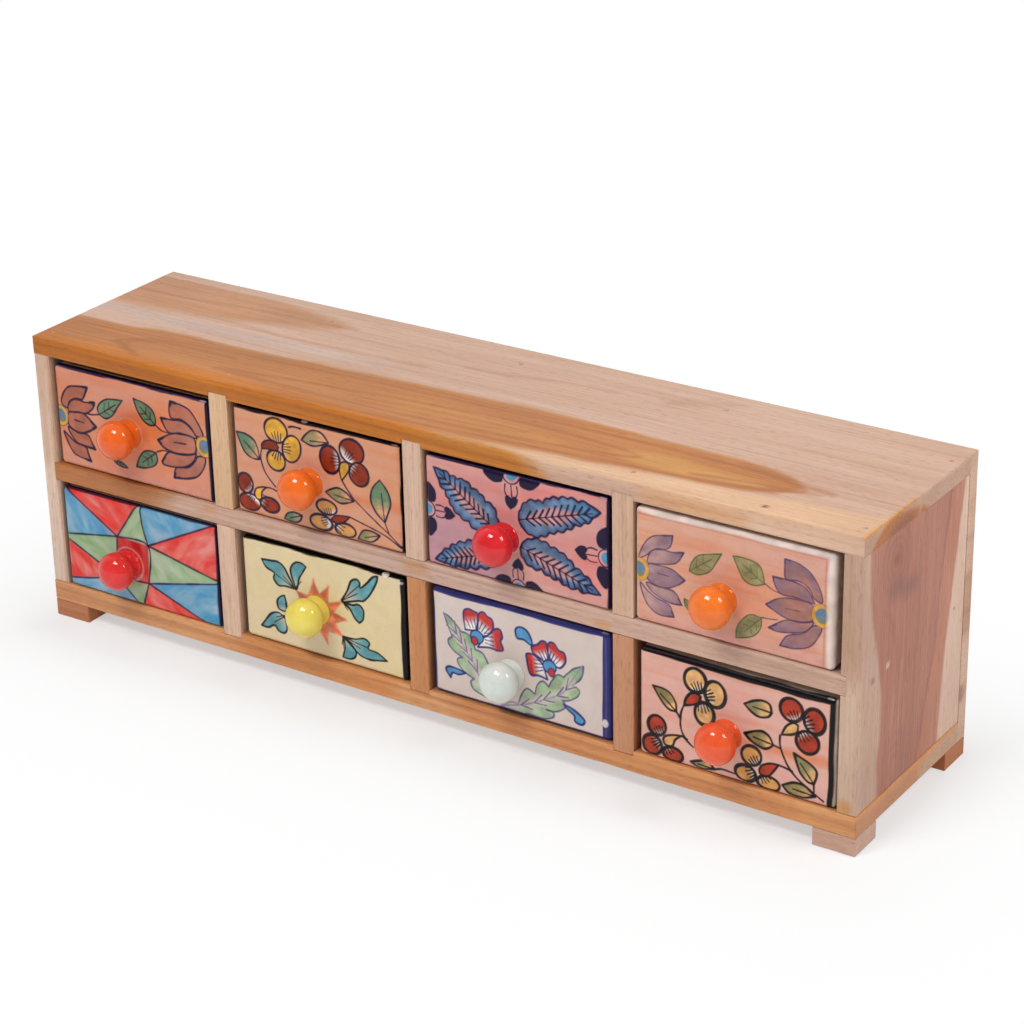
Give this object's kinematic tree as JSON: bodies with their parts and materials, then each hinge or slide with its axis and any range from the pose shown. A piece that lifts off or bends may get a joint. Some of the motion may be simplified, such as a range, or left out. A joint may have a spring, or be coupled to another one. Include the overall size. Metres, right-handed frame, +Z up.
{
  "type": "drawer organizer",
  "caption": "Low wooden cabinet on block feet with two rows of loose sliding ceramic drawers, each with a hand-painted front and a round glazed knob.",
  "frame": {"origin": "on the floor, under the middle of the bounding box with the knobs", "axes": "+X along the length to the right end as seen from the front, -Y out of the drawer fronts, +Z up"},
  "size_m": [0.48, 0.1328, 0.16],
  "materials": {
    "golden_wood": "waxed golden-brown heartwood",
    "pale_wood": "waxed pale sapwood",
    "red_wood": "waxed reddish-brown heartwood",
    "brad_steel": "wire nail steel",
    "hardware_steel": "zinc plated",
    "peach_glaze": "gloss, hand painted",
    "pink_glaze": "gloss, hand painted",
    "patchwork_glaze": "gloss, hand painted",
    "lemon_glaze": "gloss, hand painted",
    "ivory_glaze": "gloss, hand painted",
    "orange_glaze": "gloss",
    "red_glaze": "gloss",
    "yellow_glaze": "gloss",
    "celadon_glaze": "gloss"
  },
  "bodies": {
    "cabinet": {"top_board": "golden_wood", "bottom_board": "golden_wood", "foot_front_left": "golden_wood", "foot_back_right": "golden_wood", "foot_back_left": "golden_wood", "left_side": "pale_wood", "shelf": "pale_wood", "back_panel": "pale_wood", "upper_divider_1": "pale_wood", "upper_divider_2": "pale_wood", "upper_divider_3": "pale_wood", "lower_divider_1": "pale_wood", "foot_front_right": "pale_wood", "right_side": "red_wood", "lower_divider_2": "red_wood", "lower_divider_3": "red_wood", "carcass_brads": "brad_steel", "foot_brads": "brad_steel"},
    "upper_drawer_1": {"upper_drawer_1_box": "peach_glaze", "upper_drawer_1_knob": "orange_glaze", "upper_drawer_1_stud": "hardware_steel", "upper_drawer_1_washer": "hardware_steel", "upper_drawer_1_nut": "hardware_steel"},
    "upper_drawer_2": {"upper_drawer_2_box": "peach_glaze", "upper_drawer_2_knob": "orange_glaze", "upper_drawer_2_stud": "hardware_steel", "upper_drawer_2_washer": "hardware_steel", "upper_drawer_2_nut": "hardware_steel"},
    "upper_drawer_3": {"upper_drawer_3_box": "pink_glaze", "upper_drawer_3_knob": "red_glaze", "upper_drawer_3_stud": "hardware_steel", "upper_drawer_3_washer": "hardware_steel", "upper_drawer_3_nut": "hardware_steel"},
    "upper_drawer_4": {"upper_drawer_4_box": "peach_glaze", "upper_drawer_4_knob": "orange_glaze", "upper_drawer_4_stud": "hardware_steel", "upper_drawer_4_washer": "hardware_steel", "upper_drawer_4_nut": "hardware_steel"},
    "lower_drawer_1": {"lower_drawer_1_box": "patchwork_glaze", "lower_drawer_1_knob": "red_glaze", "lower_drawer_1_stud": "hardware_steel", "lower_drawer_1_washer": "hardware_steel", "lower_drawer_1_nut": "hardware_steel"},
    "lower_drawer_2": {"lower_drawer_2_box": "lemon_glaze", "lower_drawer_2_knob": "yellow_glaze", "lower_drawer_2_stud": "hardware_steel", "lower_drawer_2_washer": "hardware_steel", "lower_drawer_2_nut": "hardware_steel"},
    "lower_drawer_3": {"lower_drawer_3_box": "ivory_glaze", "lower_drawer_3_knob": "celadon_glaze", "lower_drawer_3_stud": "hardware_steel", "lower_drawer_3_washer": "hardware_steel", "lower_drawer_3_nut": "hardware_steel"},
    "lower_drawer_4": {"lower_drawer_4_box": "peach_glaze", "lower_drawer_4_knob": "orange_glaze", "lower_drawer_4_stud": "hardware_steel", "lower_drawer_4_washer": "hardware_steel", "lower_drawer_4_nut": "hardware_steel"}
  },
  "joints": [
    {"name": "upper_drawer_1_slide", "type": "slide", "parent": "cabinet", "child": "upper_drawer_1", "axis": [0, -1, 0], "range_m": [0, 0.085]},
    {"name": "upper_drawer_2_slide", "type": "slide", "parent": "cabinet", "child": "upper_drawer_2", "axis": [0, -1, 0], "range_m": [0, 0.085]},
    {"name": "upper_drawer_3_slide", "type": "slide", "parent": "cabinet", "child": "upper_drawer_3", "axis": [0, -1, 0], "range_m": [0, 0.085]},
    {"name": "upper_drawer_4_slide", "type": "slide", "parent": "cabinet", "child": "upper_drawer_4", "axis": [0, -1, 0], "range_m": [0, 0.085]},
    {"name": "lower_drawer_1_slide", "type": "slide", "parent": "cabinet", "child": "lower_drawer_1", "axis": [0, -1, 0], "range_m": [0, 0.085]},
    {"name": "lower_drawer_2_slide", "type": "slide", "parent": "cabinet", "child": "lower_drawer_2", "axis": [0, -1, 0], "range_m": [0, 0.085]},
    {"name": "lower_drawer_3_slide", "type": "slide", "parent": "cabinet", "child": "lower_drawer_3", "axis": [0, -1, 0], "range_m": [0, 0.085]},
    {"name": "lower_drawer_4_slide", "type": "slide", "parent": "cabinet", "child": "lower_drawer_4", "axis": [0, -1, 0], "range_m": [0, 0.085]}
  ]
}
